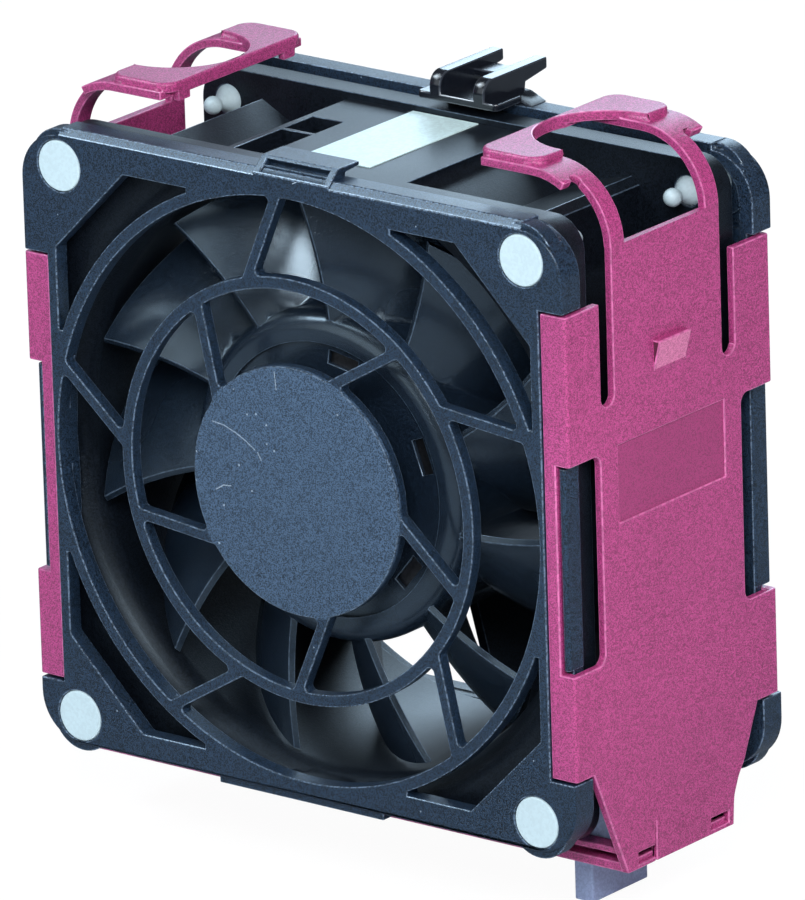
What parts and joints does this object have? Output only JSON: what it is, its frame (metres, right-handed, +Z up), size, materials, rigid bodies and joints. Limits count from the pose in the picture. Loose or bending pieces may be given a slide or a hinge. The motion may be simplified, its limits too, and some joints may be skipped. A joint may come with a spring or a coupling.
{
  "type": "server fan module",
  "caption": "Hot-plug cooling fan module: square axial fan between two swirl-grilled frames, in a U-shaped carrier with squeeze handles, latch wedges and a plug blade.",
  "frame": {"origin": "where the fan's axis meets the front face of the front frame's centre disc", "axes": "+X to the right seen from the front, +Y into the module's depth along the air flow, +Z up towards the handles"},
  "size_m": [0.0992, 0.0531, 0.1114],
  "materials": {
    "black_plastic": "fine satin grain",
    "touch_point_plastic": "fine grain",
    "soft_isolator": "smooth",
    "steel": "satin",
    "magnet": "smooth",
    "insulator": "smooth",
    "winding": "enamelled",
    "board": "solder resist",
    "connector_plastic": "smooth",
    "contact_metal": "plated",
    "label": "film",
    "gloss_black_plastic": "glossy"
  },
  "bodies": {
    "module": {"front_frame": "black_plastic", "rear_frame": "black_plastic", "carrier": "touch_point_plastic", "front_isolators": "soft_isolator", "rear_isolators": "soft_isolator", "fan_housing": "black_plastic", "front_bearing_outer_race": "steel", "rear_bearing_outer_race": "steel", "stator_core": "steel", "stator_insulator": "insulator", "stator_coils": "winding", "circuit_board": "board", "board_parts": "black_plastic", "connector_housing": "connector_plastic", "connector_contacts": "contact_metal", "rating_label": "label", "guide_clip": "gloss_black_plastic"},
    "rotor": {"impeller": "black_plastic", "rotor_yoke": "steel", "rotor_magnet": "magnet", "shaft": "steel", "front_bearing_inner_race": "steel", "front_bearing_balls": "steel", "rear_bearing_inner_race": "steel", "rear_bearing_balls": "steel", "preload_washer": "steel", "retaining_clip": "steel"},
    "latch_arm_right": {"handle_right": "touch_point_plastic"},
    "latch_arm_left": {"handle_left": "touch_point_plastic"}
  },
  "joints": [
    {"name": "impeller_spin", "type": "hinge", "parent": "module", "child": "rotor", "pos_m": [0, 0.0243, 0], "axis": [0, -1, 0], "continuous": true},
    {"name": "latch_right", "type": "hinge", "parent": "module", "child": "latch_arm_right", "pos_m": [0.0479, 0.0236, 0.02005], "axis": [0, -1, 0], "range_deg": [0, 3.5], "stiffness_Nm_per_rad": 2},
    {"name": "latch_left", "type": "hinge", "parent": "module", "child": "latch_arm_left", "pos_m": [-0.0479, 0.0236, 0.02005], "axis": [0, 1, 0], "range_deg": [0, 3.5], "stiffness_Nm_per_rad": 2}
  ]
}
